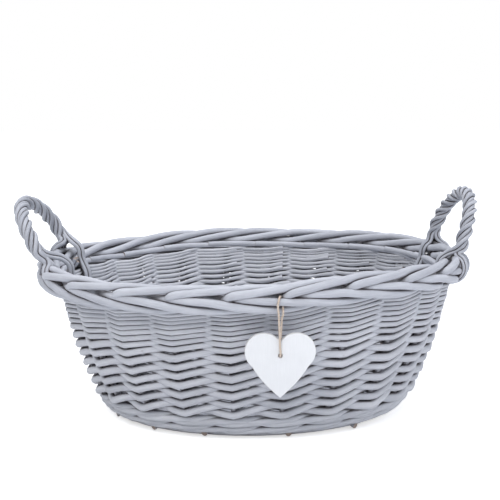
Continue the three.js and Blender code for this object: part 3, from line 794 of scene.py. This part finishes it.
# Foot wale: thick rows in threes, each rod in front of two stakes and behind one, on the curve where
# the stakes turn up. Each row has a middle, reach past the foot's oval and height, and an outward
# direction.
waleSettings = {
    "rows": [
        {"middle": (10.3, 18.3), "outward": (0.97, -0.24), "radius": 2.75, "liftShare": 0.4},
        {"middle": (6.4, 12.0), "outward": (0.75, -0.66), "radius": 2.95, "liftShare": 0.8},
        {"middle": (-0.8, 7.2), "outward": (0.35, -0.94), "radius": 2.7, "liftShare": 1.0},
    ],
    "inOut": 3.8, "climb": 2.1, "waver": 0.3,
    "endLifts": (3.6, 1.6),  # the foot isn't quite level: it lifts at the ends, most at the right one
    "turnGaps": 22.4, "floorGap": 0.35, "radiusSpread": (0.94, 1.05), "tint": (-0.14, 0.12),
    "step": 3.4, "gapLength": 36,
    # butts of the rods beside the stakes, cut off under the wale
    "buttStations": [0.2, 1.8, 3.25, 4.9, 6.2, 8.1, 9.3, 10.85, 12.2, 13.93, 15.27, 17.2, 18.93],
    "buttReach": (5.0, 6.3), "buttRadius": (2.5, 2.9), "buttTint": (-0.4, -0.15), "buttStep": 2.5,
    "body": {"sides": 9, "unevenness": 0.4, "lumpLength": 13.0, "seed": 7.0},
}


def walePath(gaps, weaver, row, wander):
    w = waleSettings
    v = (gaps - weaver + 1) % 3 - 1.5
    share = np.clip((np.abs(v) - 0.55) / 0.9, 0, 1)
    inOut = 1 - 2 * share * share * (3 - 2 * share)
    climb = w["climb"] * np.sin(2 * np.pi * v / 3) + wander(gaps) * w["waver"]
    out, up = row["outward"]
    along = np.cos(gaps * gapAngle)
    lift = np.abs(along) ** 1.5 * np.where(along > 0, *w["endLifts"]) * row["liftShare"]
    reach = row["middle"][0] + out * inOut * w["inOut"] - up * climb
    z = row["middle"][1] + up * inOut * w["inOut"] + out * climb + lift
    return ovalPoint(grown(basketForm["footOval"], reach), gaps * gapAngle, z)


def buttPath(angle, reach):
    stations = ((-12, 4.8), (2, 4.6), (reach * 0.7, 3.9), (reach, 3.5))
    points = [ovalPoint(grown(basketForm["footOval"], out), angle, z) for out, z in stations]
    return smoothPath(points, waleSettings["buttStep"])


def makeWale():
    w = waleSettings
    chance = np.random.default_rng(9)
    rods = []
    for row in w["rows"]:
        start = float(chance.integers(0, basketForm["stakeCount"]))
        for weaver in (0, 1, 2):
            gaps = np.arange(start, start + w["turnGaps"], w["step"] / w["gapLength"])
            path = walePath(gaps, weaver, row, waver(chance))
            radius = row["radius"] * chance.uniform(*w["radiusSpread"])
            path[:, 2] = np.maximum(path[:, 2], radius + w["floorGap"])
            rods.append(makeRod(path, radius, chance.uniform(*w["tint"]), cutStart=True, cutEnd=True))
    for station in w["buttStations"]:
        path = buttPath(station * gapAngle, chance.uniform(*w["buttReach"]))
        radius = chance.uniform(*w["buttRadius"])
        rods.append(makeRod(path, radius, chance.uniform(*w["buttTint"]), cutEnd=True))
    piece = buildRods("waleRows", rods, weavePaint, **w["body"])
    handIn(piece, "basket", "weave_willow", "foot_wale")


makeWale()
print("foot wale made")


# base: short sticks crossed by long ones, woven round in pairs from the middle outward
baseSettings = {
    "crossSpacing": 31.0, "crossCount": 5, "crossRadius": 2.5, "crossBend": 0.5,
    "longRows": (-8.5, 0.0, 8.5), "longRadius": 2.15, "longBend": 0.3, "stickInset": 3.0,
    "stickTint": (-0.1, 0.1), "stickStep": 4.0, "middle": 5.0, "innerOval": (75.0, 11.5),
    "outerOval": (120.5, 74.5), "rowRadius": 1.32, "rowRadiusSpread": (0.95, 1.03),
    "rowPitch": 2.72, "rowTint": (-0.14, 0.14), "lift": 3.62, "crossReach": 0.62, "wander": 0.12,
    "step": 3.0,
    # short rods that fill the middle, over and under the cross sticks
    "fillRows": (-5.35, -3.25, 3.25, 5.35), "fillEnds": (6, 5), "fillLift": 0.72,
    "fillRadius": 1.08,
    "rowBody": {"sides": 7, "unevenness": 0.2, "lumpLength": 8.0, "seed": 8.0},
    "stickBody": {"sides": 10, "unevenness": 0.3, "lumpLength": 14.0, "seed": 9.0},
}


def crossPlaces():
    b = baseSettings
    return [(index - (b["crossCount"] - 1) / 2) * b["crossSpacing"] for index in range(b["crossCount"])]


def chordAt(x, oval):
    power = basketForm["ovalPower"]
    return oval[1] * max(0.0, 1 - (abs(x) / oval[0]) ** power) ** (1 / power)


def crossingAngles(oval):
    # where the sticks cross an oval, from the +X end round
    top = [math.atan2(chordAt(x, oval) / oval[1], x / oval[0]) for x in crossPlaces()]
    ends = [
        math.atan2(y / oval[1], chordAt(y, (oval[1], oval[0])) / oval[0]) for y in baseSettings["longRows"]
    ]
    return np.sort(np.mod(ends + top + [math.pi - a for a in ends] + [-a for a in top], fullTurn))


def baseRows(chance):
    b = baseSettings
    rods = []
    count = int((b["outerOval"][1] - b["innerOval"][1]) / b["rowPitch"])
    for number in range(count):
        share = (number + 0.5) / count
        oval = [lo + (hi - lo) * share for lo, hi in zip(b["innerOval"], b["outerOval"])]
        crossings = crossingAngles(oval)
        marks = np.concatenate([[crossings[-1] - fullTurn], crossings, [crossings[0] + fullTurn]])
        steps = int(fullTurn * math.sqrt((oval[0] ** 2 + oval[1] ** 2) / 2) / b["step"])
        angle = np.linspace(0, fullTurn, steps, endpoint=False)
        phase = np.interp(angle, marks, np.arange(-1, len(crossings) + 1))
        for weaver in (0, 1):
            v = (phase + number - weaver + 1) % 2 - 1
            overUnder = 0.7 * np.cos(np.pi * v) + 0.3 * triangleWave(v)
            reach = b["crossReach"] * np.sin(np.pi * v) + chance.uniform(-b["wander"], b["wander"])
            path = ovalPoint(grown(oval, reach), angle, b["middle"] + b["lift"] * overUnder)
            radius = b["rowRadius"] * chance.uniform(*b["rowRadiusSpread"])
            rods.append(makeRod(path, radius, chance.uniform(*b["rowTint"]), closed=True))
    half = b["innerOval"][0]
    for index, y in enumerate(b["fillRows"]):
        x = np.arange(-half + b["fillEnds"][0], half - b["fillEnds"][1], b["step"])
        lift = b["fillLift"] * b["lift"] * np.cos(np.pi * (x / b["crossSpacing"] + index))
        path = np.stack([x, np.full(len(x), y), b["middle"] + lift], axis=1)
        rods.append(makeRod(path, b["rowRadius"] * b["fillRadius"], chance.uniform(*b["stickTint"])))
    return rods


def baseSticks(chance):
    b = baseSettings
    outer = grown(b["outerOval"], -b["stickInset"])
    rods = []
    for x in crossPlaces():
        half, bend = chordAt(x, outer), b["crossBend"]
        path = [(x + chance.uniform(-bend, bend), y, b["middle"]) for y in np.linspace(-half, half, 9)]
        rods.append(baseStick(path, b["crossRadius"], chance))
    for y in b["longRows"]:
        half, bend = chordAt(y, (outer[1], outer[0])), b["longBend"]
        path = [(x, y + chance.uniform(-bend, bend), b["middle"]) for x in np.linspace(-half, half, 13)]
        rods.append(baseStick(path, b["longRadius"], chance))
    return rods


def baseStick(path, radius, chance):
    path = smoothPath(path, baseSettings["stickStep"])
    return makeRod(path, radius, chance.uniform(*baseSettings["stickTint"]), cutStart=True, cutEnd=True)


def makeBase():
    b = baseSettings
    chance = np.random.default_rng(31)
    rows = buildRods("baseWeaving", baseRows(chance), basePaint, **b["rowBody"])
    handIn(rows, "basket", "base_willow", "base_weave")
    sticks = buildRods("baseSticks", baseSticks(chance), basePaint, **b["stickBody"])
    crossNames = [f"base_cross_stick_{number + 1}" for number in range(b["crossCount"])]
    longNames = [f"base_long_stick_{number + 1}" for number in range(len(b["longRows"]))]
    handIn(sticks, "basket", "base_willow", *crossNames, *longNames)


makeBase()
print("base made")


# Handles: a rope of three strands, each of three thin rods side by side. At the feet the strands
# part: two wrap round the outside of the border and one goes down inside it.
handleSettings = {
    "strandCount": 3, "layRadius": 3.45, "footZ": 150.5, "crownDrop": 10.64, "roundShare": 0.83,
    "steps": 48,
    "rodRise": 1.3,  # the middle rod of a strand stands out, and the two beside it lie deeper
    "sideDrop": -1.15, "drift": 0.22, "driftRate": 0.15, "step": 2.0,
    "trim": 3,  # a rod's end is up to this many steps short, the number itself left out
    "wrapReach": (11.9, 14.2), "wrapTurns": (64, 38, 12, -14, -40, -66, -92, -118, -144, -165),
    "wrapShifts": {"before": -0.18, "after": 0.26},
    "wrapStart": 2.5, "innerTurns": (118, 142, 166, 190),
    "innerStations": ((-9.6, 118.6), (-7.4, 109.5), (-2.5, 100.5)),  # reach from the side, and height
    "frontRoles": ("after", "before", "inner"), "backRoles": ("inner", "before", "after"),
    "radiusSpread": (0.92, 1.06), "tint": (-0.16, 0.14),
    "body": {"sides": 9, "unevenness": 0.25, "lumpLength": 9.0, "seed": 11.0},
}
bows = {
    "right": {
        "lean": 16.0, "rise": 57.0, "reaches": (2.8, -3.7), "spread": 1.04, "turns": -13 / 3, "turn": 0.0,
        "rodRadius": 1.6, "rodSpread": 2.15,
    },
    "left": {
        "lean": 22.0, "rise": 49.6, "reaches": (4.5, 10.8), "spread": 1.19, "turns": -10 / 3,
        "turn": math.pi, "rodRadius": 1.85, "rodSpread": 2.6,
    },
}


def bowPoint(share, bow):
    # middle of the rope, both handles at the +X end at first
    h = handleSettings
    foot = ovalPoint(basketForm["borderOval"], gapAngle, 0.0)
    s, c = math.sin(share * math.pi), math.cos(share * math.pi)
    first, last = bow["reaches"]
    reach = last + (first - last) * (1 + c) / 2
    rise = (bow["rise"] - h["crownDrop"]) * s ** h["roundShare"]
    return np.array([foot[0] + reach + bow["lean"] * s, -foot[1] * bow["spread"] * c, h["footZ"] + rise])


def bowStrand(share, strand, bow):
    # a station of one strand: its place, and its direction out of the rope
    h = handleSettings
    along = bowPoint(share + 0.01, bow) - bowPoint(share - 0.01, bow)
    along /= np.linalg.norm(along)
    inPlane = np.cross(along, (bow["rise"], 0, -bow["lean"]))
    inPlane /= np.linalg.norm(inPlane)
    square = np.cross(inPlane, along)
    start = math.pi / h["strandCount"] / 2 + fullTurn / h["strandCount"] * strand
    angle = start + bow["turns"] * fullTurn * share
    outward = inPlane * math.cos(angle) + square * math.sin(angle)
    return np.concatenate([bowPoint(share, bow) + outward * h["layRadius"], outward])


def strandEnd(role, angle, footReach):
    # stations of a strand's end, from the rope down
    h = handleSettings
    across, high = h["wrapReach"]
    turns = [math.radians(degrees) for degrees in h["innerTurns" if role == "inner" else "wrapTurns"]]
    if role != "inner":
        turns = [turn for turn in turns if turn < 0 or across * math.cos(turn) > footReach - h["wrapStart"]]
    stations = []
    for index, turn in enumerate(turns):
        shift = gapAngle * h["wrapShifts"].get(role, 0.0) * min(1.0, (index + 2) / 4)
        middle = borderPoint(angle + shift, 0.0, 0.0)
        point = borderPoint(angle + shift, across * math.cos(turn), high * math.sin(turn))
        stations.append(np.concatenate([point, (point - middle) / np.linalg.norm(point - middle)]))
    for inset, z in h["innerStations"] if role == "inner" else ():
        oval = sideOval(min(z, basketForm["weaveTop"]))
        inward = ovalPoint(oval, angle, z) * (-1, -1, 0)
        point = ovalPoint(grown(oval, inset), angle, z)
        stations.append(np.concatenate([point, inward / np.linalg.norm(inward)]))
    return stations


def handleRods(bow, chance):
    h = handleSettings
    c, s = math.cos(bow["turn"]), math.sin(bow["turn"])
    turned = np.array([[c, s, 0], [-s, c, 0], [0, 0, 1]])
    rods = []
    for strand in range(h["strandCount"]):
        stations = strandEnd(h["frontRoles"][strand], -gapAngle, bow["reaches"][0])[::-1]
        stations += [bowStrand(i / h["steps"], strand, bow) for i in range(1, h["steps"])]
        stations += strandEnd(h["backRoles"][strand], gapAngle, bow["reaches"][1])
        line = smoothPath(np.array(stations), h["step"])
        centre, outward = line[:, :3], line[:, 3:]
        along = unitRows(np.gradient(centre, axis=0))
        outward = unitRows(outward - along * np.sum(outward * along, axis=1)[:, None])
        side = np.cross(along, outward)
        for place in (-1, 0, 1):
            drift = waver(chance)(np.arange(len(centre)) * h["driftRate"]) * h["drift"]
            lift = h["rodRise"] if place == 0 else h["sideDrop"]
            path = centre + side * (place * bow["rodSpread"] + drift)[:, None] + outward * lift
            first, last = (int(chance.integers(0, h["trim"])) for _ in range(2))
            path = path[first:len(path) - last] @ turned
            radius = bow["rodRadius"] * chance.uniform(*h["radiusSpread"])
            rods.append(makeRod(path, radius, chance.uniform(*h["tint"]), cutStart=True, cutEnd=True))
    return rods


def makeHandles():
    chance = np.random.default_rng(41)
    for side, bow in bows.items():
        name = "ropeHandle" + side.capitalize()
        piece = buildRods(name, handleRods(bow, chance), handlePaint, **handleSettings["body"])
        handIn(piece, "basket", "handle_willow", *[f"handle_{side}_strand_{number}" for number in (1, 2, 3)])


makeHandles()
print("handles made")


# floor, backdrop and light
studioSettings = {
    "floorSize": 8.0, "floorColour": "f4f5f7", "floorGlow": 0.62, "worldColour": "f3f6fb",
    "worldStrength": 0.44,
    "lamps": [
        {"place": (-0.7, -1.3, 1.6), "aim": (0.0, 0.0, 0.08), "size": 1.1, "power": 17.5, "colour": "fffdfa"},
        {"place": (1.5, -1.0, 1.1), "aim": (0.0, 0.0, 0.08), "size": 1.2, "power": 11.5, "colour": "f8faff"},
        {"place": (0.0, 0.2, 1.95), "aim": (0.0, 0.0, 0.1), "size": 1.2, "power": 18.0, "colour": "fafbff"},
    ],
}


def seenDirectly(add):
    # 1 where the camera looks, also by a gloss or through glass, and 0 for light on the basket
    rays = add("LightPath").outputs
    seen = rays["Is Camera Ray"]
    for kind in ("Is Glossy Ray", "Is Transmission Ray"):
        seen = add("Math", "MAXIMUM", links={0: seen, 1: rays[kind]})
    return seen


def makeFloor():
    # pale matt sheet: it keeps the shadow, and shows white where nothing shades it
    s = studioSettings
    half = s["floorSize"] / 2
    mesh = bpy.data.meshes.new("floor")
    corners = [(-half, -half, 0), (half, -half, 0), (half, half, 0), (-half, half, 0)]
    mesh.from_pydata(corners, [], [(0, 1, 2, 3)])
    material, add = emptyMaterial("paleSheet")
    colour = linearColour(s["floorColour"])
    sheet = add(
        "BsdfPrincipled", values={"Base Color": colour, "Roughness": 0.9, "Specular IOR Level": 0.1})
    strength = add("Math", "MULTIPLY", {1: s["floorGlow"]}, {0: seenDirectly(add)})
    glow = add("Emission", links={"Strength": strength})
    both = add("AddShader", links={0: sheet, 1: glow})
    add("OutputMaterial", links={"Surface": both})
    mesh.materials.append(material)
    addObject("floor", mesh)


def makeLight():
    s = studioSettings
    world = bpy.data.worlds.new("studio")
    scene.world = world
    world.use_nodes = True
    world.node_tree.nodes.clear()
    add = partial(addNode, world.node_tree)
    fill = add(
        "Background", values={"Color": linearColour(s["worldColour"]), "Strength": s["worldStrength"]})
    white = add("Background", values={"Color": (1, 1, 1, 1), "Strength": 1.0})
    mix = add("MixShader", links={0: seenDirectly(add), 1: fill, 2: white})
    add("OutputWorld", links={"Surface": mix})
    for number, lamp in enumerate(s["lamps"]):
        data = bpy.data.lights.new(f"softBox{number + 1}", "AREA")
        data.size = lamp["size"]
        data.energy = lamp["power"]
        data.color = linearColour(lamp["colour"])[:3]
        light = addObject(data.name, data)
        light.location = lamp["place"]
        towards = Vector(lamp["aim"]) - Vector(lamp["place"])
        light.rotation_euler = towards.to_track_quat("-Z", "Y").to_euler()


makeFloor()
makeLight()
scene.view_settings.view_transform = "Standard"
print("studio made")
